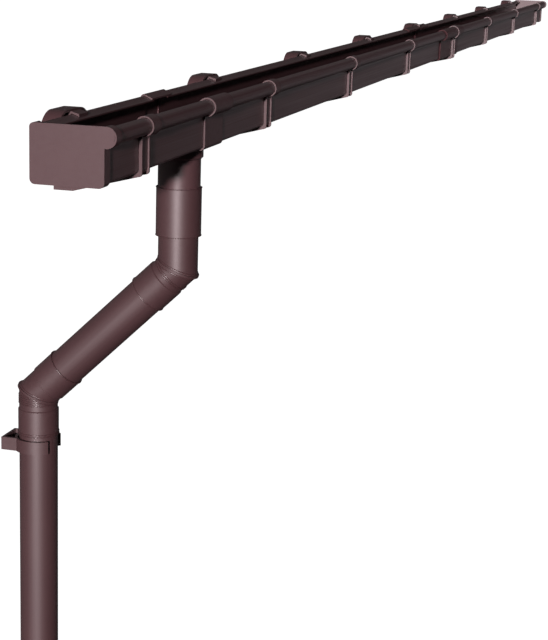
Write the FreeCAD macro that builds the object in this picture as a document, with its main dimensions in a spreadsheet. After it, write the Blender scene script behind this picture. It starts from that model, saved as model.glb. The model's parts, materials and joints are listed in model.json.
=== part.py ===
"""Box gutter run with its brackets, end caps, union and outlet, and the swan-neck downpipe below it.

Every piece is modelled in the frame of the hung gutter: X runs along the gutter, Y points at the
wall and Z is up.  X = 0 is just left of the first bracket, Y = 0 the outside of the gutter's
front wall and Z = 0 its underside.  At the end the whole assembly is laid on its back.
"""
import FreeCAD, Part

import math
import os

import Sketcher

from FreeCAD import Placement, Rotation, Vector

doc = FreeCAD.newDocument("gutter_run")

# ---------------------------------------------------------------- driving dimensions (mm, degrees)

DIMENSIONS = [
    ("gutter_width", 97, "front wall to rear wall, outside"),
    ("gutter_height", 74, "underside to the top of the bead and of the rear edge"),
    ("gutter_wall", 2.0, "sheet thickness of the extrusion"),
    ("gutter_corner", 5, "outer radius of the two bottom corners"),
    ("bead_radius", 11.5, "outer radius of the round front bead"),
    ("bead_forward", 5, "bead centre in front of the front wall"),
    ("lip_bend", 3.2, "outer radius at the top of the rear wall"),
    ("lip_depth", 16, "reach of the rear lip over the channel"),
    ("lip_drop", 6, "fall of the rear lip towards the channel"),
    ("stock_length", 2000, "gutter length as sold"),
    ("offcut_length", 413, "short length between the left cap and the outlet"),
    ("run_start", -123, "left end of the short length"),
    ("outlet_gap", 60, "gap between the gutter ends over the outlet"),
    ("union_gap", 50, "gap between the gutter ends in the union"),
    ("fit_gap", 0.3, "clearance of everything that clips over the gutter"),
    ("pipe_gap", 0.3, "clearance between a pipe and its socket"),
    ("cap_wall", 2.2, "wall of the cap's skirt"),
    ("cap_plate", 2.6, "thickness of the cap's end plate"),
    ("cap_depth", 20, "outer depth of an end cap"),
    ("saddle_length", 88, "outlet band along the gutter"),
    ("saddle_left", 3.8, "outlet band past the left side of its spout"),
    ("saddle_wall", 2.4, "wall of the outlet band"),
    ("union_length", 262, "union sleeve along the gutter"),
    ("union_wall", 2.6, "wall of the union sleeve"),
    ("grip_start", 35, "angle of a band's end on the inner side of the bead"),
    ("bracket_count", 8, "brackets along the run"),
    ("bracket_pitch", 600, "bracket spacing"),
    ("union_bracket", 5, "the bracket that holds the union"),
    ("bracket_start", 5, "left face of the first bracket's first rib"),
    ("strap_width", 39, "strap under the gutter"),
    ("strap_wall", 2.5, "thickness of the strap"),
    ("rib_width", 3.5, "thickness of one upright rib"),
    ("rib_spacing", 28, "distance between the two ribs"),
    ("rib_depth", 4.6, "how far a rib stands in front of the gutter"),
    ("ring_start", 7, "left end of the clip ring over the bead"),
    ("ring_wall", 2.0, "thickness of the clip ring"),
    ("back_width", 124, "bracket back along the gutter"),
    ("back_left", -50, "left side of the bracket back"),
    ("back_depth", 25, "gutter rear wall to the fascia"),
    ("back_rise", 6, "top of the bracket back above the gutter"),
    ("back_radius", 40, "rounding of its upper corners"),
    ("back_wall", 3, "wall of the bracket back"),
    ("foot_drop", 30, "how far the bracket reaches below the gutter"),
    ("foot_depth", 28, "depth of its flat foot"),
    ("screw_hole", 5.2, "fixing hole"),
    ("screw_height", 45, "fixing hole above the gutter's underside"),
    ("screw_side", 12, "fixing hole outside the ribs"),
    ("claw_wall", 4, "thickness of the claw over the rear lip"),
    ("pipe_radius", 31, "outside of the downpipe"),
    ("pipe_wall", 2.0, "wall of the downpipe"),
    ("pipe_x", 318, "downpipe axis along the gutter"),
    ("pipe_y", 49, "outlet axis behind the front wall"),
    ("spout_radius", 32.8, "outside of the outlet spout"),
    ("spout_length", 95, "outlet spout below the gutter"),
    ("shoulder_rise", 3.5, "shoulder at the top of the spout, wider than the spout"),
    ("shoulder_height", 15, "straight part of the shoulder"),
    ("coupling_wall", 1.9, "wall of the coupling round the spout"),
    ("coupling_length", 75, "length of the coupling"),
    ("coupling_top", 64.5, "top of the coupling below the gutter"),
    ("stop_height", 4, "stop ring inside the coupling"),
    ("bend_angle", 46, "turn of each elbow"),
    ("neck_offset", 233, "offset of the lower pipe towards the wall"),
    ("neck_top", 190, "upper elbow's corner below the gutter"),
    ("elbow_wall", 1.7, "wall of the elbows"),
    ("socket_wall", 1.3, "wall of a socket"),
    ("socket_start", 26, "corner to the start of a socket"),
    ("socket_end", 67.5, "corner to the mouth of a socket"),
    ("seam_height", 1.7, "how far the welded seam stands proud"),
    ("seam_width", 3.2, "thickness of the seam"),
    ("downpipe_length", 2000, "stock length of the downpipe"),
    ("clip_top", 488.5, "top of the pipe clip below the gutter"),
    ("clip_height", 21, "height of the pipe clip"),
    ("clip_wall", 4, "thickness of the clip's arms"),
    ("clip_clearance", 2.6, "room between the clip's arms and the pipe, bridged by its grips"),
    ("grip_width", 5, "width of one grip"),
    ("clip_mouth", 43, "half the opening angle of the clip"),
    ("clip_base", 54, "pipe axis to the wall behind the clip"),
    ("clip_base_width", 52, "width of the clip's base on the wall"),
]

sheet = doc.addObject("Spreadsheet::Sheet", "dims")
for row, (alias, number, meaning) in enumerate(DIMENSIONS, start=1):
    sheet.set("A%d" % row, alias)
    sheet.set("B%d" % row, str(number))
    sheet.setAlias("B%d" % row, alias)
    sheet.set("C%d" % row, meaning)
doc.recompute()


class Size:
    """A length or angle: its number, and the same formula in the sheet's cells as text."""

    def __init__(self, value, text):
        self.value = value
        self.text = text

    def _join(self, other, sign, value):
        return Size(value, "(%s %s %s)" % (self.text, sign, size_of(other).text))

    def __add__(self, other):
        return self._join(other, "+", self.value + size_of(other).value)

    def __sub__(self, other):
        return self._join(other, "-", self.value - size_of(other).value)

    def __mul__(self, other):
        return self._join(other, "*", self.value * size_of(other).value)

    def __truediv__(self, other):
        return self._join(other, "/", self.value / size_of(other).value)

    def __neg__(self):
        return Size(-self.value, "(-%s)" % self.text)


def size_of(number):
    """A Size as it is, and a plain number as a Size."""
    if isinstance(number, Size):
        return number
    return Size(float(number), repr(float(number)))


def root(size):
    return Size(math.sqrt(size.value), "sqrt(%s)" % size.text)


def cosine(size):
    return Size(math.cos(math.radians(size.value)), "cos(%s * 1 deg)" % size.text)


def sine(size):
    return Size(math.sin(math.radians(size.value)), "sin(%s * 1 deg)" % size.text)


def tangent(size):
    return Size(math.tan(math.radians(size.value)), "tan(%s * 1 deg)" % size.text)


class Dimensions:
    """The sheet's cells by their aliases, as Sizes."""

    def __getattr__(self, alias):
        return Size(float(sheet.get(alias)), "dims." + alias)


dim = Dimensions()
ZERO = size_of(0)


def bind(feature, prop, size):
    """Ties one property of a feature to the cells of the sheet."""
    feature.setExpression(prop, size_of(size).text)


# ---------------------------------------------------------------- sketches

def line(*end):
    return ("line", end)


def arc(radius, y, z, turn):
    """An arc to (y, z); turn is +1 anticlockwise, -1 clockwise, and 2 or -2 for more than half a turn."""
    return ("arc", (y, z), radius, turn)


def arc_centre(start, end, radius, turn):
    """Centre of an arc between two points."""
    half = (end - start) * 0.5
    rise = math.sqrt(max(radius ** 2 - half.Length ** 2, 0))
    left = Vector(-half.y, half.x, 0).normalize()
    side = 1 if turn in (1, -2) else -1
    return start + half + left * rise * side


def draw(sketch, start, steps):
    """Draws a closed outline, ties every corner and radius to the sheet."""
    corners = [start] + [step[1] for step in steps]
    points = [Vector(size_of(a).value, size_of(b).value, 0) for a, b in corners]
    names = []
    for first, last, step in zip(points, points[1:], steps):
        if step[0] == "line":
            names.append((sketch.addGeometry(Part.LineSegment(first, last)), 1, 2))
            continue
        radius, turn = size_of(step[2]).value, step[3]
        centre = arc_centre(first, last, radius, turn)
        circle = Part.Circle(centre, Vector(0, 0, 1), radius)
        ends = (first, last) if turn > 0 else (last, first)
        angles = [math.atan2(end.y - centre.y, end.x - centre.x) for end in ends]
        if angles[1] <= angles[0]:
            angles[1] += 2 * math.pi
        number = sketch.addGeometry(Part.ArcOfCircle(circle, *angles))
        names.append((number, 1, 2) if turn > 0 else (number, 2, 1))
        constraint = sketch.addConstraint(Sketcher.Constraint("Radius", number, radius))
        bind(sketch, "Constraints[%d]" % constraint, step[2])
    for (number, _, end), (following, begin, _) in zip(names, names[1:] + names[:1]):
        sketch.addConstraint(Sketcher.Constraint("Coincident", number, end, following, begin))
    for (number, begin, _), corner, point in zip(names, corners, points):
        for kind, size, place in (("DistanceX", corner[0], point.x), ("DistanceY", corner[1], point.y)):
            constraint = sketch.addConstraint(
                Sketcher.Constraint(kind, -1, 1, number, begin, place)
            )
            bind(sketch, "Constraints[%d]" % constraint, size)


def draw_circle(sketch, y, z, radius):
    """A full circle whose centre and radius are tied to the sheet."""
    y, z, radius = size_of(y), size_of(z), size_of(radius)
    circle = Part.Circle(Vector(y.value, z.value, 0), Vector(0, 0, 1), radius.value)
    number = sketch.addGeometry(circle)
    for constraint, size in (
        (Sketcher.Constraint("Radius", number, radius.value), radius),
        (Sketcher.Constraint("DistanceX", -1, 1, number, 3, y.value), y),
        (Sketcher.Constraint("DistanceY", -1, 1, number, 3, z.value), z),
    ):
        bind(sketch, "Constraints[%d]" % sketch.addConstraint(constraint), size)


def new_body(label):
    body = doc.addObject("PartDesign::Body", label)
    body.Label = label
    return body


def new_sketch(body, name, plane, offset=ZERO):
    """A sketch on one of the body's own origin planes, moved along the plane's normal."""
    sketch = body.newObject("Sketcher::SketchObject", body.Label + "_" + name)
    support = [part for part in body.Origin.OriginFeatures if part.Role == plane]
    sketch.AttachmentSupport = (support[0], "")
    sketch.MapMode = "FlatFace"
    bind(sketch, "AttachmentOffset.Base.z", offset)
    return sketch


def pad(body, sketch, length, backwards=False):
    feature = body.newObject("PartDesign::Pad", sketch.Name + "_pad")
    feature.Profile = sketch
    feature.Reversed = backwards
    bind(feature, "Length", length)
    return feature


def pocket(body, sketch, depth, backwards=False):
    feature = body.newObject("PartDesign::Pocket", sketch.Name + "_pocket")
    feature.Profile = sketch
    feature.Reversed = backwards
    bind(feature, "Length", depth)
    return feature


def revolve(body, sketch):
    feature = body.newObject("PartDesign::Revolution", sketch.Name + "_turned")
    feature.Profile = sketch
    feature.ReferenceAxis = (sketch, ["V_Axis"])
    feature.Angle = 360
    return feature


def row_of(body, feature, axis, length, count):
    """Repeats a feature along one of the body's own axes."""
    pattern = body.newObject("PartDesign::LinearPattern", feature.Name + "_row")
    pattern.Originals = [feature]
    direction = [part for part in body.Origin.OriginFeatures if part.Role == axis]
    pattern.Direction = (direction[0], [""])
    bind(pattern, "Length", length)
    bind(pattern, "Occurrences", count)
    body.Tip = pattern
    return pattern


# ---------------------------------------------------------------- the gutter's own outline

BEAD_Z = dim.gutter_height - dim.bead_radius
BACK_TOP = dim.gutter_height + dim.back_rise
LIP_FRONT = dim.gutter_width - dim.lip_depth
LIP_SLOPE = dim.lip_drop / (dim.lip_depth - dim.lip_bend)


def bead_meets_wall(outside, wall_y):
    """Height at which a bead grown by `outside` crosses an upright wall face."""
    reach = dim.bead_radius + outside
    across = wall_y + dim.bead_forward
    return BEAD_Z - root(reach * reach - across * across)


def bead_point(outside, angle):
    """Point on the bead grown by `outside`, at an angle above the direction of the wall."""
    reach = dim.bead_radius + outside
    return (reach * cosine(angle) - dim.bead_forward, BEAD_Z + reach * sine(angle))


def under_and_up(outside):
    """Steps along the gutter's outside, grown by `outside`: down the front, under and up to the lip."""
    front, rear, corner = -outside, dim.gutter_width + outside, dim.gutter_corner
    return [
        line(front, corner),
        arc(corner + outside, corner, -outside, 1),
        line(dim.gutter_width - corner, -outside),
        arc(corner + outside, rear, corner, 1),
        line(rear, dim.gutter_height - dim.lip_bend),
    ]


def over_lip(outside):
    """The bend at the top of the rear wall and the top of the sloping lip."""
    return [
        arc(dim.lip_bend + outside, dim.gutter_width - dim.lip_bend, dim.gutter_height + outside, 1),
        line(LIP_FRONT, dim.gutter_height - dim.lip_drop + outside),
    ]


def backwards(start, steps):
    """The same outline drawn from its other end."""
    corners = [start] + [step[1] for step in steps]
    turned = []
    for corner, step in reversed(list(zip(corners, steps))):
        if step[0] == "line":
            turned.append(line(*corner))
        else:
            turned.append(arc(step[2], corner[0], corner[1], -step[3]))
    return corners[-1], turned


def band_outline(inside, outside, with_bead=True, with_lip=True):
    """Start and steps of a band of even thickness that wraps the gutter."""
    def skin(grown):
        wall_top = bead_meets_wall(grown, -grown)
        if with_bead:
            start = bead_point(grown, dim.grip_start)
            steps = [arc(dim.bead_radius + grown, -grown, wall_top, 2)]
        else:
            start, steps = (-grown, bead_meets_wall(outside, -inside)), []
        steps += under_and_up(grown)
        return start, steps + (over_lip(grown) if with_lip else [])

    start, steps = skin(outside)
    inner_end, inner_steps = backwards(*skin(inside))
    return start, steps + [line(*inner_end)] + inner_steps + [line(*start)]


def wrap(body, name, inside, outside, length, offset=ZERO, reverse=False, **parts):
    """Pads a band that wraps the gutter."""
    sketch = new_sketch(body, name, "YZ_Plane", offset)
    draw(sketch, *band_outline(inside, outside, **parts))
    return pad(body, sketch, length, reverse)


# ---------------------------------------------------------------- gutter lengths

def gutter_length(label, length):
    """The extruded channel: rolled lip behind, hollow round bead in front."""
    body = new_body(label)
    sketch = new_sketch(body, "profile", "YZ_Plane")
    wall, inner_corner = dim.gutter_wall, dim.gutter_corner - dim.gutter_wall
    rear = dim.gutter_width - wall
    start = (ZERO, bead_meets_wall(ZERO, ZERO))
    steps = under_and_up(ZERO) + over_lip(ZERO) + [
        line(LIP_FRONT, dim.gutter_height - dim.lip_drop - wall),
        line(dim.gutter_width - dim.lip_bend, dim.gutter_height - wall),
        arc(dim.lip_bend - wall, rear, dim.gutter_height - dim.lip_bend, -1),
        line(rear, dim.gutter_corner),
        arc(inner_corner, dim.gutter_width - dim.gutter_corner, wall, -1),
        line(dim.gutter_corner, wall),
        arc(inner_corner, wall, dim.gutter_corner, -1),
        line(wall, bead_meets_wall(ZERO, wall)),
        arc(dim.bead_radius, start[0], start[1], 2),
    ]
    draw(sketch, start, steps)
    draw_circle(sketch, -dim.bead_forward, BEAD_Z, dim.bead_radius - wall)
    pad(body, sketch, length)
    return body


# ---------------------------------------------------------------- end caps, union and outlet

def end_cap(label, reverse):
    """A flat plate with the gutter's outline and a skirt that grips the gutter's outside."""
    body = new_body(label)
    outside = dim.fit_gap + dim.cap_wall
    plate = new_sketch(body, "plate", "YZ_Plane")
    top = dim.gutter_height + outside
    start = (-dim.bead_forward, top)
    steps = [arc(dim.bead_radius + outside, -outside, bead_meets_wall(outside, -outside), 1)]
    steps += under_and_up(outside) + over_lip(outside)[:1] + [line(*start)]
    draw(plate, start, steps)
    pad(body, plate, dim.cap_plate, reverse)
    wrap(body, "skirt", dim.fit_gap, outside, dim.cap_depth, reverse=reverse)
    return body


def union_sleeve(label):
    body = new_body(label)
    wrap(body, "sleeve", dim.fit_gap, dim.fit_gap + dim.union_wall, dim.union_length)
    return body


BORE = dim.pipe_radius - dim.pipe_wall


def outlet_saddle(label):
    """Band that clips round the gutter, with a rounded shoulder and a round spout below."""
    body = new_body(label)
    outside = dim.fit_gap + dim.saddle_wall
    wrap(body, "band", dim.fit_gap, outside, dim.saddle_length, -dim.spout_radius - dim.saddle_left)
    turned = new_sketch(body, "spout", "XZ_Plane", -dim.pipe_y)
    spout = dim.spout_radius
    shoulder = spout + dim.shoulder_rise
    start = (ZERO, -dim.fit_gap - dim.saddle_wall / 2)
    draw(turned, start, [
        line(ZERO, -dim.spout_length),
        line(spout, -dim.spout_length),
        line(spout, -outside - dim.shoulder_height - (shoulder - spout)),
        line(shoulder, -outside - dim.shoulder_height),
        line(shoulder, start[1]),
        line(*start),
    ])
    revolve(body, turned)
    bore = new_sketch(body, "bore", "XY_Plane", -dim.spout_length)
    draw_circle(bore, ZERO, dim.pipe_y, dim.spout_radius - dim.saddle_wall)
    pocket(body, bore, dim.spout_length + dim.gutter_corner, backwards=True)
    return body


# ---------------------------------------------------------------- brackets

def bracket(label, around):
    """Fascia bracket; `around` is the clearance from the gutter's outside to the strap."""
    body = new_body(label)
    wrap(body, "strap", around, around + dim.strap_wall, dim.strap_width, with_bead=False, with_lip=False)
    fascia = dim.gutter_width + dim.back_depth
    rear = dim.gutter_width + around

    # the hollow back: a box with rounded upper corners, open towards the gutter
    back = new_sketch(body, "back", "XZ_Plane", -fascia)
    left, right = dim.back_left, dim.back_left + dim.back_width
    draw(back, (left, ZERO), rounded_box(left, right, ZERO, BACK_TOP, dim.back_radius))
    pad(body, back, fascia - rear)
    inner = dim.back_wall
    hollow = new_sketch(body, "hollow", "XZ_Plane", -rear)
    left, right, low, high = left + inner, right - inner, inner, BACK_TOP - inner
    draw(hollow, (left, low), rounded_box(left, right, low, high, dim.back_radius - inner))
    pocket(body, hollow, fascia - rear - inner)

    # the two rib plates: up the front, a gusset under the gutter and through the back
    rib = new_sketch(body, "rib", "YZ_Plane")
    front = around + dim.rib_depth
    corner = dim.gutter_corner
    rib_top = bead_meets_wall(around + dim.ring_wall, ZERO)
    # towards the gutter the rib ends inside the strap's thickness
    buried = around + dim.strap_wall * 0.8
    diagonal = (corner + buried) * cosine(size_of(45))
    draw(rib, (-front, rib_top), [
        line(-front, corner - front),
        arc(corner, corner - front, -front, 1),
        line(fascia - dim.foot_depth, -dim.foot_drop),
        line(fascia, -dim.foot_drop),
        line(fascia, BACK_TOP - inner / 2),
        line(rear, BACK_TOP - inner / 2),
        line(rear, dim.gutter_height - dim.lip_bend),
        line(dim.gutter_width + buried, dim.gutter_height - dim.lip_bend),
        line(dim.gutter_width + buried, corner),
        line(dim.gutter_width - corner + diagonal, corner - diagonal),
        line(dim.gutter_width - corner, -buried),
        line(corner, -buried),
        line(corner - diagonal, corner - diagonal),
        line(-buried, corner),
        line(-buried, rib_top),
        line(-front, rib_top),
    ])
    row_of(body, pad(body, rib, dim.rib_width), "X_Axis", dim.rib_spacing, size_of(2))

    # the wide claw over the rear lip, from rib to rib
    claw = new_sketch(body, "claw", "YZ_Plane")
    draw(claw, (rear + inner, BACK_TOP - inner / 2), claw_steps(rear, inner, around))
    pad(body, claw, dim.rib_spacing + dim.rib_width)

    # the clip ring over the bead
    ring = new_sketch(body, "ring", "YZ_Plane", dim.ring_start)
    outside = around + dim.ring_wall
    outer_start, inner_start = bead_point(outside, dim.grip_start), bead_point(around, dim.grip_start)
    leg = bead_meets_wall(outside, -outside) - dim.strap_wall
    draw(ring, outer_start, [
        arc(dim.bead_radius + outside, -outside, bead_meets_wall(outside, -outside), 2),
        line(-outside, leg),
        line(-around, leg),
        line(-around, bead_meets_wall(around, -around)),
        arc(dim.bead_radius + around, inner_start[0], inner_start[1], -2),
        line(*outer_start),
    ])
    pad(body, ring, dim.strap_width - dim.ring_start)

    # fixing holes through the back, outside the ribs
    holes = new_sketch(body, "holes", "XZ_Plane", -rear)
    for x in (-dim.screw_side, dim.rib_spacing + dim.rib_width + dim.screw_side):
        draw_circle(holes, x, dim.screw_height, dim.screw_hole / 2)
    pocket(body, holes, dim.back_depth)
    return body


def claw_steps(rear, thickness, around):
    """Steps of the claw, from its top rear corner over the lip and back under the bracket's top."""
    tip, lip_top = LIP_FRONT + dim.claw_wall, dim.gutter_height - dim.lip_drop + around
    under = lip_top + LIP_SLOPE * dim.claw_wall
    return [
        line(tip, under + dim.claw_wall),
        line(tip, under),
        line(dim.gutter_width - dim.lip_bend, dim.gutter_height + around),
        line(rear + thickness, dim.gutter_height + around),
        line(rear + thickness, BACK_TOP - thickness / 2),
    ]


def rounded_box(left, right, low, high, radius):
    """Steps of a box with two rounded upper corners, from its lower left corner."""
    return [
        line(right, low),
        line(right, high - radius),
        arc(radius, right - radius, high, 1),
        line(left + radius, high),
        arc(radius, left, high - radius, 1),
        line(left, low),
    ]


# ---------------------------------------------------------------- pipe work

ELBOW_BORE = dim.pipe_radius - dim.elbow_wall
SOCKET_BORE = dim.pipe_radius + dim.pipe_gap
SOCKET_OUTSIDE = SOCKET_BORE + dim.socket_wall


def tube(label, length):
    """A plain pipe that hangs down from its local origin."""
    body = new_body(label)
    ring = new_sketch(body, "ring", "XY_Plane")
    draw_circle(ring, ZERO, ZERO, dim.pipe_radius)
    draw_circle(ring, ZERO, ZERO, BORE)
    pad(body, ring, length, backwards=True)
    return body


def coupling(label):
    """Sleeve that takes the spout above its stop ring and the elbow below, its top at the origin."""
    body = new_body(label)
    wall = new_sketch(body, "wall", "YZ_Plane")
    spout_bore = dim.spout_radius + dim.pipe_gap
    outer, length = spout_bore + dim.coupling_wall, dim.coupling_length
    stop_top = dim.coupling_top - dim.spout_length - dim.pipe_gap
    stop_low = stop_top - dim.stop_height
    draw(wall, (outer, ZERO), [
        line(spout_bore, ZERO),
        line(spout_bore, stop_top),
        line(BORE, stop_top),
        line(BORE, stop_low),
        line(SOCKET_BORE, stop_low),
        line(SOCKET_BORE, -length),
        line(outer, -length),
        line(outer, ZERO),
    ])
    revolve(body, wall)
    return body


def elbow_arm(label, length, socket=None):
    """One arm of an elbow, from the corner straight down, mitred at the corner."""
    body = new_body(label)
    wall = new_sketch(body, "wall", "YZ_Plane")
    above = dim.pipe_radius
    if socket is None:
        draw(wall, (ELBOW_BORE, above), [
            line(ELBOW_BORE, -length),
            line(dim.pipe_radius, -length),
            line(dim.pipe_radius, above),
            line(ELBOW_BORE, above),
        ])
    else:
        draw(wall, (ELBOW_BORE, above), [
            line(ELBOW_BORE, -socket - dim.socket_wall),
            line(SOCKET_BORE, -socket - dim.socket_wall),
            line(SOCKET_BORE, -length),
            line(SOCKET_OUTSIDE, -length),
            line(SOCKET_OUTSIDE, -socket),
            line(dim.pipe_radius, -socket + dim.socket_wall),
            line(dim.pipe_radius, above),
            line(ELBOW_BORE, above),
        ])
    revolve(body, wall)
    # the mitre plane leans by half the bend
    cut = new_sketch(body, "mitre", "YZ_Plane", -SOCKET_OUTSIDE * 2)
    reach = dim.pipe_radius * 2
    lean = tangent(dim.bend_angle / 2) * reach
    draw(cut, (-reach, -lean), [
        line(reach, lean),
        line(reach, reach * 2),
        line(-reach, reach * 2),
        line(-reach, -lean),
    ])
    pocket(body, cut, SOCKET_OUTSIDE * 4, backwards=True)
    return body


def seam(label):
    """The raised welded seam round the corner, drawn as an oval in the mitre plane."""
    body = new_body(label)
    oval = new_sketch(body, "oval", "XY_Plane", -dim.seam_width / 2)
    stretch = cosine(dim.bend_angle / 2)
    for radius in (dim.pipe_radius + dim.seam_height, ELBOW_BORE + dim.elbow_wall / 2):
        draw_oval(oval, radius, radius / stretch)
    pad(body, oval, dim.seam_width)
    return body


def draw_oval(sketch, half_x, half_y):
    """An ellipse about the origin with its long axis along Y."""
    half_x, half_y = size_of(half_x), size_of(half_y)
    oval = Part.Ellipse(Vector(0, half_y.value, 0), Vector(half_x.value, 0, 0), Vector(0, 0, 0))
    number = sketch.addGeometry(oval)
    sketch.exposeInternalGeometry(number)
    long_axis, short_axis = number + 1, number + 2
    sketch.addConstraint(Sketcher.Constraint("Coincident", number, 3, -1, 1))
    sketch.addConstraint(Sketcher.Constraint("Vertical", long_axis))
    for axis, size in ((long_axis, half_y), (short_axis, half_x)):
        length = Sketcher.Constraint("Distance", axis, 2 * size.value)
        bind(sketch, "Constraints[%d]" % sketch.addConstraint(length), size * 2)


def elbow(label, arms):
    """Two mitred arms and the seam between them, fused into one moulding.

    The first arm hangs down from the corner and the second rises from it, away from the wall.
    """
    bend, half = dim.bend_angle.value, dim.bend_angle.value / 2
    lower = elbow_arm(label + "_lower_arm", *arms[0])
    upper = elbow_arm(label + "_upper_arm", *arms[1])
    # half a turn about the seam's normal swaps the two arms
    upper.Placement = Placement(Vector(), Rotation(Vector(1, 0, 0), 180 + bend))
    upper.Placement = upper.Placement.multiply(Placement(Vector(), Rotation(Vector(0, 0, 1), 180)))
    ridge = seam(label + "_seam")
    ridge.Placement = Placement(Vector(), Rotation(Vector(1, 0, 0), half))
    joined = doc.addObject("Part::MultiFuse", label)
    joined.Label = label
    joined.Shapes = [lower, upper, ridge]
    return joined


def pipe_clip(label):
    """Open C clip on a hollow wall base; its origin is on the pipe axis at the clip's top."""
    body = new_body(label)
    seat_radius = dim.pipe_radius + dim.pipe_gap
    inner = seat_radius + dim.clip_clearance
    outer = inner + dim.clip_wall
    half_base, wall = dim.clip_base_width / 2, dim.clip_wall
    base = new_sketch(body, "base", "XY_Plane")
    draw(base, (-half_base, ZERO), [
        line(half_base, ZERO),
        line(half_base, dim.clip_base),
        line(-half_base, dim.clip_base),
        line(-half_base, ZERO),
    ])
    pad(body, base, dim.clip_height, backwards=True)
    room = new_sketch(body, "room", "XY_Plane")
    draw(room, (wall - half_base, ZERO), [
        line(half_base - wall, ZERO),
        line(half_base - wall, dim.clip_base - wall),
        line(wall - half_base, dim.clip_base - wall),
        line(wall - half_base, ZERO),
    ])
    pocket(body, room, dim.clip_height)
    arms = new_sketch(body, "arms", "XY_Plane")
    draw_circle(arms, ZERO, ZERO, outer)
    pad(body, arms, dim.clip_height, backwards=True)
    room_round_pipe = new_sketch(body, "clearance", "XY_Plane")
    draw_circle(room_round_pipe, ZERO, ZERO, inner)
    pocket(body, room_round_pipe, dim.clip_height)
    # three grips hold the pipe: one at the base and one near each tip
    side, front = sine(dim.clip_mouth), cosine(dim.clip_mouth)
    grips = new_sketch(body, "grips", "XY_Plane")
    for across, towards in ((ZERO, size_of(1)), (side, -front), (-side, -front)):
        draw_grip(grips, across, towards, inner + wall / 2)
    pad(body, grips, dim.clip_height, backwards=True)
    # the round seat and the mouth, open away from the wall
    seat = new_sketch(body, "seat", "XY_Plane")
    draw_circle(seat, ZERO, ZERO, seat_radius)
    pocket(body, seat, dim.clip_height)
    mouth = new_sketch(body, "mouth", "XY_Plane")
    far = outer * 2
    draw(mouth, (ZERO, ZERO), [
        line(-side * far, -front * far),
        line(side * far, -front * far),
        line(ZERO, ZERO),
    ])
    pocket(body, mouth, dim.clip_height)
    screw = new_sketch(body, "screw", "XZ_Plane", -inner)
    draw_circle(screw, ZERO, -dim.clip_height / 2, dim.screw_hole / 2)
    pocket(body, screw, dim.clip_base)
    return body


def draw_grip(sketch, across, towards, reach):
    """A bar along the direction (across, towards), from inside the pipe's room out to `reach`."""
    half, start = dim.grip_width / 2, dim.pipe_radius * 0.8
    corners = [
        (across * length + towards * (half * hand), towards * length - across * (half * hand))
        for length, hand in ((start, -1), (reach, -1), (reach, 1), (start, 1))
    ]
    draw(sketch, corners[0], [line(*corner) for corner in corners[1:] + corners[:1]])


# ---------------------------------------------------------------- the assembly, as hung

pieces = []


def hang(piece, x, y, z, turn=None):
    """Notes a finished piece and its place in the hung frame."""
    place = Placement(Vector(size_of(x).value, size_of(y).value, size_of(z).value), turn or Rotation())
    pieces.append((piece, place))


offcut_end = dim.run_start + dim.offcut_length
middle_start = offcut_end + dim.outlet_gap
middle_end = middle_start + dim.stock_length
last_start = middle_end + dim.union_gap
run_end = last_start + dim.stock_length
cap_room = dim.cap_plate + dim.fit_gap

hang(end_cap("end_cap_left", False), dim.run_start - cap_room, 0, 0)
hang(gutter_length("gutter_length_left", dim.offcut_length), dim.run_start, 0, 0)
hang(outlet_saddle("outlet_saddle"), dim.pipe_x, 0, 0)
hang(gutter_length("gutter_length_middle", dim.stock_length), middle_start, 0, 0)
hang(union_sleeve("gutter_union"), middle_end + (dim.union_gap - dim.union_length) / 2, 0, 0)
hang(gutter_length("gutter_length_right", dim.stock_length), last_start, 0, 0)
hang(end_cap("end_cap_right", True), run_end + cap_room, 0, 0)

for number in range(1, round(dim.bracket_count.value) + 1):
    clearance = dim.fit_gap
    if number == round(dim.union_bracket.value):
        clearance = dim.fit_gap + dim.union_wall + dim.fit_gap
    across = dim.bracket_start + dim.bracket_pitch * (number - 1)
    hang(bracket("bracket_%d" % number, clearance), across, 0, 0)

neck_drop = dim.neck_offset / tangent(dim.bend_angle)
lower_y = dim.pipe_y + dim.neck_offset
lower_corner = -dim.neck_top - neck_drop
hang(coupling("pipe_coupling"), dim.pipe_x, dim.pipe_y, -dim.coupling_top)

spigot = dim.neck_top - dim.spout_length - dim.stop_height - dim.pipe_gap * 2
socket = (dim.socket_end, dim.socket_start)
# the upper elbow is the lower one's shape turned half round: its spigot points up
flip = Rotation(Vector(1, 0, 0), 180)
hang(elbow("elbow_upper", ((spigot,), socket)), dim.pipe_x, dim.pipe_y, -dim.neck_top, flip)
hang(elbow("elbow_lower", (socket, socket)), dim.pipe_x, lower_y, lower_corner)

seat_depth = dim.socket_start + dim.socket_wall + dim.pipe_gap
slant = dim.neck_offset / sine(dim.bend_angle)
tilted = Rotation(Vector(1, 0, 0), dim.bend_angle.value)
hang(
    tube("offset_pipe", slant - seat_depth * 2),
    dim.pipe_x,
    dim.pipe_y + seat_depth * sine(dim.bend_angle),
    -dim.neck_top - seat_depth * cosine(dim.bend_angle),
    tilted,
)
hang(tube("downpipe", dim.downpipe_length), dim.pipe_x, lower_y, lower_corner - seat_depth)
hang(pipe_clip("pipe_clip"), dim.pipe_x, lower_y, -dim.clip_top)

# ---------------------------------------------------------------- laid on its back

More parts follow.
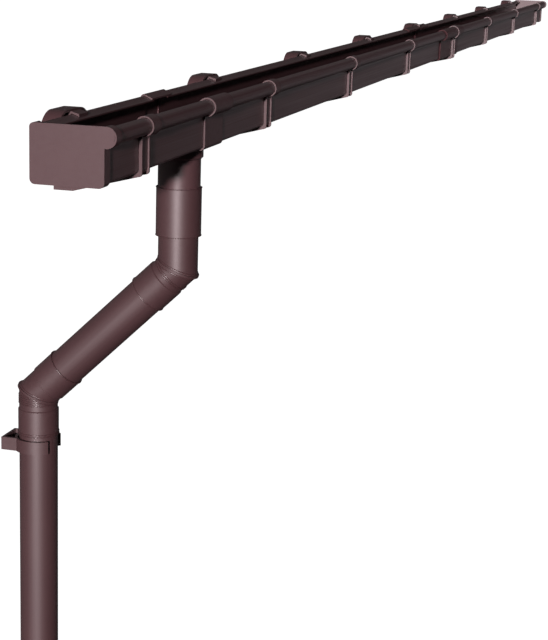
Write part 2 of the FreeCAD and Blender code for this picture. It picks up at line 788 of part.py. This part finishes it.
# It lies on the tops of the bracket backs and on the part of the neck that reaches furthest back.
fascia_y = (dim.gutter_width + dim.back_depth).value
half_bend = math.radians(dim.bend_angle.value / 2)
ridge = (dim.pipe_radius + dim.seam_height).value
half_seam = dim.seam_width.value / 2
feet = [(lower_y.value + dim.clip_base.value, -dim.clip_top.value)]
for side in (-half_seam, half_seam):
    out = ridge / math.cos(half_bend)
    feet.append((
        lower_y.value + out * math.cos(half_bend) - side * math.sin(half_bend),
        lower_corner.value + out * math.sin(half_bend) + side * math.cos(half_bend),
    ))
lean = max(math.atan2(y - fascia_y, BACK_TOP.value - z) for y, z in feet)
turn = Rotation(Vector(1, 0, 0), -90 - math.degrees(lean))
touching = turn.multVec(Vector(0, fascia_y, BACK_TOP.value))
laid_down = Placement(Vector(0, 0, -touching.z), turn)


def lay_down():
    """Places every piece and returns the box round them all."""
    for piece, place in pieces:
        piece.Placement = laid_down.multiply(place)
    doc.recompute()
    whole = FreeCAD.BoundBox()
    for piece, place in pieces:
        whole.add(piece.Shape.optimalBoundingBox())
    return whole


# the origin is on the floor, under the middle of the box round the whole assembly
middle = lay_down().Center
laid_down = Placement(Vector(-middle.x, -middle.y, -touching.z), turn)
lay_down()

# ---------------------------------------------------------------- checks and export

for item in doc.Objects:
    if "Invalid" in item.State or "Error" in item.State:
        raise RuntimeError("%s failed: %s" % (item.Label, item.State))
for piece, place in pieces:
    if piece.Shape.isNull() or not piece.Shape.isValid():
        raise RuntimeError("%s has no valid shape" % piece.Label)

os.makedirs("parts", exist_ok=True)
for piece, place in pieces:
    piece.Shape.exportStep(os.path.join("parts", piece.Label + ".step"))
    print("%-20s %9.0f mm3, %d solid" % (piece.Label, piece.Shape.Volume, len(piece.Shape.Solids)))
print("laid on its back, leaning %.3f degrees, hung origin at %s" % (math.degrees(lean), laid_down.Base))
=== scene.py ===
# %% [markdown]
# # A gutter run with its downpipe
# The object is a brown plastic box gutter with eight fascia brackets, two end caps, a union and
# an outlet, and a round swan-neck downpipe below the outlet.
# It was drawn as it hangs on a house and then laid on its back, so it rests without a wall.
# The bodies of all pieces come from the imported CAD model, because clips and sockets have to fit
# to a fraction of a millimetre and Blender is the wrong place to change that.  This lesson gives
# them their plastic, adds the fine moulded rings, and sets up floor, light and camera.

# %% Set-up
import json
import math

import bpy
import bmesh
from mathutils import Matrix, Vector


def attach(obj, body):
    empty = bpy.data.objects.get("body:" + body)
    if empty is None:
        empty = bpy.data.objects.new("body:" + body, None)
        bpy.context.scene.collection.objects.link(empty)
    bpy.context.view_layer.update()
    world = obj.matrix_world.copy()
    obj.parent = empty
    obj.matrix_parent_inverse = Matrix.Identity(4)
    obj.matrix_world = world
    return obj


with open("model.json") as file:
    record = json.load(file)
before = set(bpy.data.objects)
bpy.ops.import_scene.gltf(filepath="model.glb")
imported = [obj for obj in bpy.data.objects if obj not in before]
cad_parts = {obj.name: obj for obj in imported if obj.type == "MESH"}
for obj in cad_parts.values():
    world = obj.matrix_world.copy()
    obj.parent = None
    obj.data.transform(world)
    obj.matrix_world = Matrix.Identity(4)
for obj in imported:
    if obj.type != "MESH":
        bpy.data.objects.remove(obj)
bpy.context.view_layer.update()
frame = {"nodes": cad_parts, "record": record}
nodes = frame["nodes"]
record = frame["record"]
MM = 0.001

# %% [markdown]
# ## The hung frame
# It is easier to think of the gutter as it hangs: X runs along it, Y points at the wall and Z is
# up.  X starts just left of the first bracket, Y at the front wall and Z at the underside.
# The turn from hung to lying could be typed in as an angle, but it would go wrong as soon as the
# CAD model changed.  The record states where one screw hole of the first bracket lies and which
# way its back faces, so the hung frame is worked out from those two facts instead.

# %% From hung to lying
mounts = {mount["name"]: mount for mount in record["mounts"]}
along = Vector((1, 0, 0))
to_wall = Vector(mounts["fascia_face"]["axis"])
upwards = along.cross(to_wall)
SCREW_HUNG = (-7 * MM, 120.5 * MM, 45 * MM)


def hung_turn(direction):
    """A direction of the hung frame, as it lies now."""
    x, y, z = direction
    return along * x + to_wall * y + upwards * z


hung_origin = Vector(mounts["bracket_1_screw_left"]["pos_m"]) - hung_turn(SCREW_HUNG)


def hung(x, y, z):
    """A point of the hung frame, in metres, where it lies now."""
    return hung_origin + hung_turn((x, y, z))


print("the bracket backs lean %.1f degrees from the floor" % math.degrees(math.acos(-to_wall.z)))

# %% [markdown]
# ## A helper for shader nodes
# A material is a small network.  Adding a node, giving it values and wiring it up always takes
# the same few lines, so they go into one helper: an input that is a socket is linked, and any
# other value is written on the node.

# %% Node helper
def add_node(tree, kind, inputs=None, **settings):
    """Adds a node, with settings as its properties and inputs as links or values."""
    node = tree.nodes.new(kind)
    for name, value in settings.items():
        setattr(node, name, value)
    for name, value in (inputs or {}).items():
        if isinstance(value, bpy.types.NodeSocket):
            tree.links.new(value, node.inputs[name])
        else:
            node.inputs[name].default_value = value
    return node


print("node helper ready")

# %% [markdown]
# ## Where the grain lies
# Gutter and pipes are pushed through a steel die, and each small mark of the die draws a line
# along the whole length.  A Wave texture could draw lines too, but evenly, like corduroy.  A
# noise that is squeezed across the piece and stretched along it gives lines of every strength.
# Object coordinates are turned first, so that Z follows the length.

# %% Lines along a length
DIE_LINES_PER_METRE = 420
DIE_LINE_STRETCH = 0.004


def die_lines(tree, place, axis):
    """A noise of fine lines along an axis that lies in the YZ plane or along X."""
    if abs(axis.x) > 0.5:
        turned = add_node(tree, "ShaderNodeVectorRotate", {
            "Vector": place, "Angle": math.pi / 2}, rotation_type="Y_AXIS")
    else:
        turned = add_node(tree, "ShaderNodeVectorRotate", {
            "Vector": place, "Angle": math.atan2(axis.y, axis.z)}, rotation_type="X_AXIS")
    squeezed = add_node(tree, "ShaderNodeMapping", {
        "Vector": turned.outputs["Vector"], "Scale": (1, 1, DIE_LINE_STRETCH)})
    return add_node(tree, "ShaderNodeTexNoise", {
        "Vector": squeezed.outputs["Vector"], "Scale": DIE_LINES_PER_METRE,
        "Detail": 2.0, "Roughness": 0.6}).outputs["Fac"]


print("a die line every %.1f mm" % (1 / DIE_LINES_PER_METRE / MM))

# %% [markdown]
# ## The skin of a moulding
# Caps, brackets and elbows copy the satin skin of their mould.  Two sizes of even noise make it:
# a fine one for the satin, and a soft one a few millimetres wide, where the plastic shrank a
# little as it cooled.  One noise with more detail would have both sizes too, but then neither
# could be changed alone.

# %% Mould skin
SATIN_GRAINS_PER_METRE = 900
SHRINK_SPOTS_PER_METRE = 160


def mould_skin(tree, place, _axis):
    """A fine satin grain with soft shallow spots below it, averaged."""
    grain = add_node(tree, "ShaderNodeTexNoise", {
        "Vector": place, "Scale": SATIN_GRAINS_PER_METRE, "Detail": 3.0, "Roughness": 0.55})
    spots = add_node(tree, "ShaderNodeTexNoise", {
        "Vector": place, "Scale": SHRINK_SPOTS_PER_METRE, "Detail": 1.0})
    both = add_node(tree, "ShaderNodeMath", {
        0: grain.outputs["Fac"], 1: spots.outputs["Fac"]}, operation="ADD")
    return add_node(tree, "ShaderNodeMath", {
        0: both.outputs["Value"], 1: 0.5}, operation="MULTIPLY").outputs["Value"]


print("satin grains %.1f mm wide, shrink spots %.1f mm" % (
    1 / SATIN_GRAINS_PER_METRE / MM, 1 / SHRINK_SPOTS_PER_METRE / MM))

# %% [markdown]
# ## Chocolate-brown plastic
# Every piece is the same kind of satin plastic, so one function builds all the materials, and
# only its shades, its gloss and its grain differ.  Within a batch, broad, weak clouds of a warmer
# and a darker brown keep large faces from looking painted on.
# The grain lifts the surface by hundredths of a millimetre and changes how sharp reflections are.

# %% Plastic
CLOUDS_PER_METRE = 9.0
GRAIN_LIFT = 0.02 * MM


def brown_plastic(name, shades, gloss_range, shine, grain_of, axis=upwards, lift=GRAIN_LIFT):
    """A satin plastic; shades are its warm and dark brown, gloss_range its roughness."""
    material = bpy.data.materials.new(name)
    material.use_nodes = True
    tree = material.node_tree
    shader = tree.nodes["Principled BSDF"]
    place = add_node(tree, "ShaderNodeTexCoord").outputs["Object"]
    grain = grain_of(tree, place, axis)

    clouds = add_node(tree, "ShaderNodeTexNoise", {
        "Vector": place, "Scale": CLOUDS_PER_METRE, "Detail": 4.0, "Roughness": 0.6})
    colour = add_node(tree, "ShaderNodeMix", {"Factor": clouds.outputs["Fac"]}, data_type="RGBA")
    for socket in colour.inputs:
        if socket.type == "RGBA":
            socket.default_value = (*shades["dark" if socket.name == "A" else "warm"], 1)
    mixed = next(socket for socket in colour.outputs if socket.type == "RGBA")
    tree.links.new(mixed, shader.inputs["Base Color"])

    gloss = add_node(tree, "ShaderNodeMapRange", {
        "Value": grain, "From Min": 0.3, "From Max": 0.7,
        "To Min": gloss_range[0], "To Max": gloss_range[1]})
    tree.links.new(gloss.outputs["Result"], shader.inputs["Roughness"])
    relief = add_node(tree, "ShaderNodeBump", {
        "Height": grain, "Strength": 0.6, "Distance": lift})
    tree.links.new(relief.outputs["Normal"], shader.inputs["Normal"])
    shader.inputs["Specular IOR Level"].default_value = shine
    return material


print("clouds of shade %.0f mm wide" % (1 / CLOUDS_PER_METRE / MM))

# %% [markdown]
# ## A plastic for each piece
# The pipes come from a slightly darker and duller batch than the gutter and its fittings.
# The CAD nodes keep their shape, and only the materials in their slots are exchanged.

# %% Finishes
GUTTER_BROWN = {"warm": (0.092, 0.040, 0.044), "dark": (0.072, 0.031, 0.035)}
PIPE_BROWN = {"warm": (0.076, 0.031, 0.034), "dark": (0.062, 0.025, 0.028)}
SHINY, MILD = 0.78, 0.56
PIPE_GLOSS = (0.46, 0.54)
NECK_FITTINGS = ("pipe_coupling", "elbow_upper", "elbow_lower", "pipe_clip")
slant = hung_turn((0, 1, -1)).normalized()
finishes = {
    "gutter": brown_plastic(
        "gutter_extrusion", GUTTER_BROWN, (0.34, 0.46), SHINY, die_lines, along),
    "downpipe": brown_plastic(
        "downpipe_extrusion", PIPE_BROWN, PIPE_GLOSS, SHINY, die_lines, upwards),
    "offset_pipe": brown_plastic(
        "slanted_pipe_extrusion", PIPE_BROWN, PIPE_GLOSS, SHINY, die_lines, slant),
    "neck_fitting": brown_plastic(
        "neck_moulding", PIPE_BROWN, (0.44, 0.52), SHINY, mould_skin),
    "fitting": brown_plastic(
        "gutter_moulding", GUTTER_BROWN, (0.42, 0.50), MILD, mould_skin),
    "ring": brown_plastic(
        "ring_edge_moulding", PIPE_BROWN, (0.34, 0.42), SHINY, mould_skin, lift=GRAIN_LIFT / 2),
}


def finish_of(name):
    """The finish of a CAD node, from its name."""
    if name in finishes:
        return name
    if name.startswith("gutter_length"):
        return "gutter"
    return "neck_fitting" if name in NECK_FITTINGS else "fitting"


for name, piece in nodes.items():
    for slot in piece.material_slots:
        slot.material = finishes[finish_of(name)]
print("finishes on", len(nodes), "pieces:", ", ".join(finishes))

# %% [markdown]
# ## Moulded rings
# Where two pipes meet, the fittings carry thin raised rings: at the mouth of every socket, at both
# ends of the coupling, and in a small row below each welded corner.  Each could be a torus, set by
# hand.  But all of them are a circle, or an oval on a mitred cut, swept by a tiny round profile
# and repeated along the pipe.  That is one rule with a few sizes, so it is one node tree, built
# here once and used for every ring on the object.

# %% Ring tree
RING_STEPS, PROFILE_STEPS = 96, 8
RING_SIZES = (
    ("Radius", "Float", 0.03), ("Stretch", "Float", 1.0), ("Thickness", "Float", 0.0005),
    ("Count", "Int", 3), ("Spacing", "Float", 0.003),
)


def ring_row_tree():
    """A tree that draws a row of equal rings, one below the other along local Z."""
    tree = bpy.data.node_groups.new("ring_row", "GeometryNodeTree")
    tree.interface.new_socket("Geometry", in_out="OUTPUT", socket_type="NodeSocketGeometry")
    for name, kind, start in RING_SIZES:
        socket = tree.interface.new_socket(name, in_out="INPUT", socket_type="NodeSocket" + kind)
        socket.default_value = start
    tree.interface.new_socket("Material", in_out="INPUT", socket_type="NodeSocketMaterial")
    sizes = tree.nodes.new("NodeGroupInput").outputs

    step = add_node(tree, "ShaderNodeMath", {0: sizes["Spacing"], 1: -1.0}, operation="MULTIPLY")
    step_down = add_node(tree, "ShaderNodeCombineXYZ", {"Z": step.outputs["Value"]})
    row = add_node(tree, "GeometryNodeMeshLine", {
        "Count": sizes["Count"], "Offset": step_down.outputs["Vector"]}, mode="OFFSET")

    circle = add_node(tree, "GeometryNodeCurvePrimitiveCircle", {
        "Resolution": RING_STEPS, "Radius": sizes["Radius"]}, mode="RADIUS")
    oval_scale = add_node(tree, "ShaderNodeCombineXYZ", {
        "X": 1.0, "Y": sizes["Stretch"], "Z": 1.0})
    oval = add_node(tree, "GeometryNodeTransform", {
        "Geometry": circle.outputs["Curve"], "Scale": oval_scale.outputs["Vector"]})
    profile = add_node(tree, "GeometryNodeCurvePrimitiveCircle", {
        "Resolution": PROFILE_STEPS, "Radius": sizes["Thickness"]}, mode="RADIUS")
    ring = add_node(tree, "GeometryNodeCurveToMesh", {
        "Curve": oval.outputs["Geometry"], "Profile Curve": profile.outputs["Curve"]})

    rings = add_node(tree, "GeometryNodeInstanceOnPoints", {
        "Points": row.outputs["Mesh"], "Instance": ring.outputs["Mesh"]})
    real = add_node(tree, "GeometryNodeRealizeInstances", {"Geometry": rings.outputs["Instances"]})
    painted = add_node(tree, "GeometryNodeSetMaterial", {
        "Geometry": real.outputs["Geometry"], "Material": sizes["Material"]})
    smooth = add_node(tree, "GeometryNodeSetShadeSmooth", {"Geometry": painted.outputs["Geometry"]})
    add_node(tree, "NodeGroupOutput", {"Geometry": smooth.outputs["Geometry"]})
    return tree


ring_tree = ring_row_tree()
print("ring tree with", len(ring_tree.nodes), "nodes")

# %% [markdown]
# ## Cutting at a mitre
# On the inside of a bend a full ring would pass through the other arm of the elbow.  A Boolean
# would need a cutting block of its own, and a plane is enough here: it bisects the row, and the
# cut is filled again.

# %% Cut a row
def keep_one_side(mesh, point, normal):
    """Cuts a mesh by a plane, closes it and keeps the side that the normal points away from."""
    work = bmesh.new()
    work.from_mesh(mesh)
    everything = work.verts[:] + work.edges[:] + work.faces[:]
    result = bmesh.ops.bisect_plane(
        work, geom=everything, plane_co=point, plane_no=normal, clear_outer=True)
    rim = [item for item in result["geom_cut"] if isinstance(item, bmesh.types.BMEdge)]
    bmesh.ops.holes_fill(work, edges=rim)
    work.to_mesh(mesh)
    work.free()


print("mitre cutter ready")

# %% [markdown]
# ## From the tree to a piece
# A node tree only lives on an object as a modifier.  Its inputs are set by their identifiers,
# then the evaluated result becomes a plain mesh, and the mesh is moved to its place.
# The object itself stays at the origin, as all pieces of this model do.

# %% One row of rings
lying = Matrix((along, to_wall, upwards)).transposed().to_4x4()
lying.translation = hung_origin
identifiers = {
    item.name: item.identifier
    for item in ring_tree.interface.items_tree if item.in_out == "INPUT"
}
rings = []


def ring_row(name, place, cut=None, **sizes):
    """A finished row of rings; place is its matrix in the hung frame."""
    holder = bpy.data.objects.new(name + "_holder", bpy.data.meshes.new(name + "_start"))
    bpy.context.scene.collection.objects.link(holder)
    modifier = holder.modifiers.new("rings", "NODES")
    modifier.node_group = ring_tree
    modifier[identifiers["Material"]] = finishes["ring"]
    for size, value in sizes.items():
        modifier[identifiers[size.capitalize()]] = value
    bpy.context.view_layer.update()
    evaluated = holder.evaluated_get(bpy.context.evaluated_depsgraph_get())
    mesh = bpy.data.meshes.new_from_object(evaluated)
    bpy.data.objects.remove(holder)
    mesh.name = name
    mesh.transform(lying @ place)
    if cut:
        keep_one_side(mesh, *cut)
    piece = bpy.data.objects.new(name, mesh)
    bpy.context.scene.collection.objects.link(piece)
    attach(piece, "root")
    rings.append(piece)
    print("%-28s %5d faces" % (name, len(mesh.polygons)))


print("a row takes:", ", ".join(name.lower() for name in identifiers))

# %% [markdown]
# ## Sizes of the neck
# The neck's rings follow from a few sizes of the CAD pieces: the pipe, its sockets, the coupling,
# and the two corners where the pipe turns towards the wall and down again.  Only the upper corner
# is given; the lower one follows from the bend and the offset.

# %% Neck sizes
PIPE_X, PIPE_Y = 318 * MM, 49 * MM
NECK_OFFSET = 233 * MM
UPPER_CORNER = -190 * MM
BEND = math.radians(46)
PIPE_RADIUS = 31 * MM
SOCKET_RADIUS = 32.6 * MM
SOCKET_MOUTH = 67.5 * MM
COUPLING_RADIUS = 35 * MM
COUPLING_TOP, COUPLING_LENGTH = -64.5 * MM, 75 * MM

lower_corner = UPPER_CORNER - NECK_OFFSET / math.tan(BEND)
upper = Vector((PIPE_X, PIPE_Y, UPPER_CORNER))
lower = Vector((PIPE_X, PIPE_Y + NECK_OFFSET, lower_corner))
down = Vector((0, 0, -1))
slant_step = Vector((0, math.sin(BEND), -math.cos(BEND)))
print("lower corner %.0f mm below the gutter" % (-lower_corner / MM))

# %% [markdown]
# ## Rings at the mouths
# Every socket ends in a raised edge, which catches the light where a pipe goes in.  The socket
# above the downpipe has two of them, and the coupling has one at each end.  Two rings on one
# pipe are one row, with the distance between them as its spacing.  Where a ring lies on a wall
# it is sunk in a little, so that no gap shows under it.

# %% Mouth rings
RING_INSET = 0.6 * MM
PAIR_INSET = 4 * MM
SUNK_IN = 0.1 * MM
MOUTH_RING = 1.0 * MM
tilted = Matrix.Rotation(BEND, 4, "X")


def at(point, turn=Matrix()):
    """The matrix that puts a row at a point of the hung frame."""
    return Matrix.Translation(point) @ turn


mouth = {"radius": SOCKET_RADIUS, "thickness": MOUTH_RING, "count": 1}
to_mouth = slant_step * (SOCKET_MOUTH - RING_INSET)
ring_row("upper_socket_ring", at(upper + to_mouth, tilted), **mouth)
ring_row("lower_socket_ring", at(lower - to_mouth, tilted), **mouth)
ring_row("pipe_socket_rings", at(lower + down * (SOCKET_MOUTH - PAIR_INSET)),
         radius=SOCKET_RADIUS, thickness=MOUTH_RING, count=2, spacing=3.4 * MM)
ring_row("coupling_rings", at((PIPE_X, PIPE_Y, COUPLING_TOP - RING_INSET)),
         radius=COUPLING_RADIUS - SUNK_IN, thickness=0.8 * MM,
         count=2, spacing=COUPLING_LENGTH - 2 * RING_INSET)

# %% [markdown]
# ## Steps below the corners
# Below each welded corner a small row of steps runs round the pipe.  They could be cut into the
# elbow, but its body belongs to the CAD model, so they are laid on it as rings.  The row starts
# close to the corner, so it is cut along the mitre.

# %% Corner steps
FIRST_STEP_OF_LOWER, FIRST_STEP_OF_UPPER = 2 * MM, 13 * MM
mitre = hung_turn((0, -math.sin(BEND / 2), math.cos(BEND / 2)))
step = {"radius": PIPE_RADIUS, "thickness": 1.1 * MM}
ring_row("lower_corner_steps", at(lower + down * FIRST_STEP_OF_LOWER),
         cut=(hung(*lower), mitre), count=5, spacing=3.4 * MM, **step)
ring_row("upper_corner_steps", at(upper + slant_step * FIRST_STEP_OF_UPPER, tilted),
         cut=(hung(*upper), mitre), count=2, spacing=3.6 * MM, **step)

# %% [markdown]
# ## Weld lines
# Each elbow is two mitred arms joined at the corner, and a thin line runs round it on both sides
# of the joint.  A slanting cut through a round pipe is an oval, longer by one over the cosine of
# half the bend, so the same ring tree draws these lines with its Stretch.

# %% Lines beside the welds
WELD_GAP = 4.2 * MM
on_mitre = Matrix.Rotation(BEND / 2, 4, "X")
weld_line = {
    "radius": PIPE_RADIUS - SUNK_IN, "stretch": 1 / math.cos(BEND / 2),
    "thickness": 0.9 * MM, "count": 1,
}
for corner_name, corner, arm_above, arm_below in (
    ("upper", upper, -down, slant_step), ("lower", lower, -slant_step, down),
):
    ring_row(corner_name + "_weld_line_above", at(corner + arm_above * WELD_GAP, on_mitre),
             **weld_line)
    ring_row(corner_name + "_weld_line_below", at(corner + arm_below * WELD_GAP, on_mitre),
             **weld_line)

# %% [markdown]
# ## Floor
# The floor is plain and pale.  A bright lamp could make it white, but it would wash out the dark
# plastic as well.  So it glows like a lit paper sweep, strongly where the camera sees it and
# faintly for the light that it throws on the object, which a light path can tell apart.

# %% Paper floor
FLOOR_SIDE = 60.0
FLOOR_DROP = 0.5 * MM
half = FLOOR_SIDE / 2
floor_mesh = bpy.data.meshes.new("floor")
corners = [(-half, -half, 0), (half, -half, 0), (half, half, 0), (-half, half, 0)]
floor_mesh.from_pydata(corners, [], [(0, 1, 2, 3)])
floor = bpy.data.objects.new("floor", floor_mesh)
floor.location.z = -FLOOR_DROP
bpy.context.scene.collection.objects.link(floor)

paper = bpy.data.materials.new("paper")
paper.use_nodes = True
paper_shader = paper.node_tree.nodes["Principled BSDF"]
paper_shader.inputs["Base Color"].default_value = (0.5, 0.5, 0.5, 1)
paper_shader.inputs["Roughness"].default_value = 0.9
paper_shader.inputs["Emission Color"].default_value = (1, 1, 1, 1)
seen = add_node(paper.node_tree, "ShaderNodeLightPath").outputs["Is Camera Ray"]
glow = add_node(paper.node_tree, "ShaderNodeMapRange", {
    "Value": seen, "To Min": 0.03, "To Max": 1.0})
paper.node_tree.links.new(glow.outputs["Result"], paper_shader.inputs["Emission Strength"])
floor_mesh.materials.append(paper)
print("floor %.0f m wide" % FLOOR_SIDE)

# %% [markdown]
# ## Light
# A main lamp beside the camera, and a little lower, lights the end faces and leaves the long
# front walls dark.  A dim end lamp beyond the far cap, in front and below, gives the faces that
# look away from the camera a little light; they still look very dark from that side.
# Both give only diffuse light, because a lamp that skims along a flat wall four metres long
# would burn its far end white as soon as someone looks back towards it.

# %% Lamps
BESIDE_TURN, BESIDE_RISE = math.radians(8.4), math.radians(8.9)
beside_the_camera = (
    -math.cos(BESIDE_TURN) * math.cos(BESIDE_RISE),
    -math.sin(BESIDE_TURN) * math.cos(BESIDE_RISE),
    math.sin(BESIDE_RISE),
)
BEHIND_THE_FAR_CAP = (0.83, -0.47, -0.31)


def far_lamp(name, towards, energy, spread):
    """A lamp so far away that only its direction counts; towards points from the object to it."""
    lamp = bpy.data.objects.new(name, bpy.data.lights.new(name, "SUN"))
    lamp.data.energy = energy
    lamp.data.angle = math.radians(spread)
    lamp.rotation_euler = hung_turn(towards).to_track_quat("Z", "Y").to_euler()
    bpy.context.scene.collection.objects.link(lamp)
    print("%-12s from" % name, [round(v, 2) for v in hung_turn(towards)])
    return lamp


far_lamp("main_lamp", beside_the_camera, energy=4.0, spread=2.5).visible_glossy = False
far_lamp("end_lamp", BEHIND_THE_FAR_CAP, energy=0.36, spread=30).visible_glossy = False

# %% [markdown]
# ## Streaks
# The shine is drawn by one more lamp that gives only reflections.  Light linking names the pieces
# that it may shine on: pipes, fittings and brackets have small or round faces and take a streak
# from it, and the long flat walls of the gutter and its union are left out.

# %% Streak lamp
WITHOUT_A_STREAK = ("gutter_length", "gutter_union")
streak_lamp = far_lamp("streak_lamp", beside_the_camera, energy=6.6, spread=4)
streak_lamp.visible_diffuse = False
streak_lamp.data.color = (1.0, 0.87, 0.89)
shone_on = bpy.data.collections.new("pieces_with_a_streak")
for piece in [*nodes.values(), *rings]:
    if not piece.name.startswith(WITHOUT_A_STREAK):
        shone_on.objects.link(piece)
streak_lamp.light_linking.receiver_collection = shone_on

# %% [markdown]
# ## Surround
# The long front walls reflect what lies beyond the far end, and the further a wall is, the
# brighter it looks there.  A real screen would do it, but it would stand in other views.
# So the surround itself is brighter in that one direction and nearly dark elsewhere, and the
# camera sees it as plain white.

# %% World
PALE_AIR = (1.0, 0.93, 0.98, 1)
beyond_the_far_end = hung_turn((0.99, -0.08, -0.06))
world = bpy.data.worlds.new("surround")
bpy.context.scene.world = world
world.use_nodes = True
air = world.node_tree
air.nodes.clear()
direction = add_node(air, "ShaderNodeTexCoord").outputs["Generated"]
closeness = add_node(air, "ShaderNodeVectorMath", {
    0: direction, 1: beyond_the_far_end}, operation="DOT_PRODUCT")
screen = add_node(air, "ShaderNodeMapRange", {
    "Value": closeness.outputs["Value"], "From Min": 0.96, "From Max": 1.0,
    "To Min": 0.016, "To Max": 0.42})
dim_air = add_node(air, "ShaderNodeBackground", {
    "Color": PALE_AIR, "Strength": screen.outputs["Result"]})
white_air = add_node(air, "ShaderNodeBackground", {"Color": (1, 1, 1, 1), "Strength": 1.1})
ray = add_node(air, "ShaderNodeLightPath")
both = add_node(air, "ShaderNodeMixShader", {
    0: ray.outputs["Is Camera Ray"], 1: dim_air.outputs[0], 2: white_air.outputs[0]})
add_node(air, "ShaderNodeOutputWorld", {"Surface": both.outputs[0]})
bpy.context.scene.view_settings.view_transform = "Standard"
print("surround with", len(air.nodes), "nodes")

# %% [markdown]
# ## Camera
# The camera stands near the left end, a little above the gutter, and looks along it.
# Its place and its three angles are given in the hung frame, where pan turns it towards the
# wall, tilt drops its view and roll turns the picture.  They are turned with the object, so the
# gutter looks hung although it lies.

# %% View along the gutter
CAMERA_AT = (-2.07593, -0.76540, 0.32817)
PAN, TILT, ROLL = math.radians(15.369), math.radians(13.319), math.radians(1.723)
LENS, SENSOR_HEIGHT = 93.89, 36


def camera_axes(pan, tilt, roll):
    """Right, up and forward of the camera in the hung frame."""
    forward = Vector((
        math.cos(pan) * math.cos(tilt), math.sin(pan) * math.cos(tilt), -math.sin(tilt)))
    right = Vector((math.sin(pan), -math.cos(pan), 0))
    up = right.cross(forward)
    return (
        right * math.cos(roll) + up * math.sin(roll),
        up * math.cos(roll) - right * math.sin(roll),
        forward,
    )


right, up, forward = [hung_turn(axis) for axis in camera_axes(PAN, TILT, ROLL)]
camera_data = bpy.data.cameras.new("camera")
camera_data.sensor_fit = "VERTICAL"
camera_data.sensor_height = SENSOR_HEIGHT
camera_data.lens = LENS
camera_data.clip_end = 100
camera = bpy.data.objects.new("camera", camera_data)
turn = Matrix((right, up, -forward)).transposed()
camera.matrix_world = Matrix.Translation(hung(*CAMERA_AT)) @ turn.to_4x4()
bpy.context.scene.collection.objects.link(camera)
bpy.context.scene.camera = camera
print("camera at", [round(v, 3) for v in camera.location])
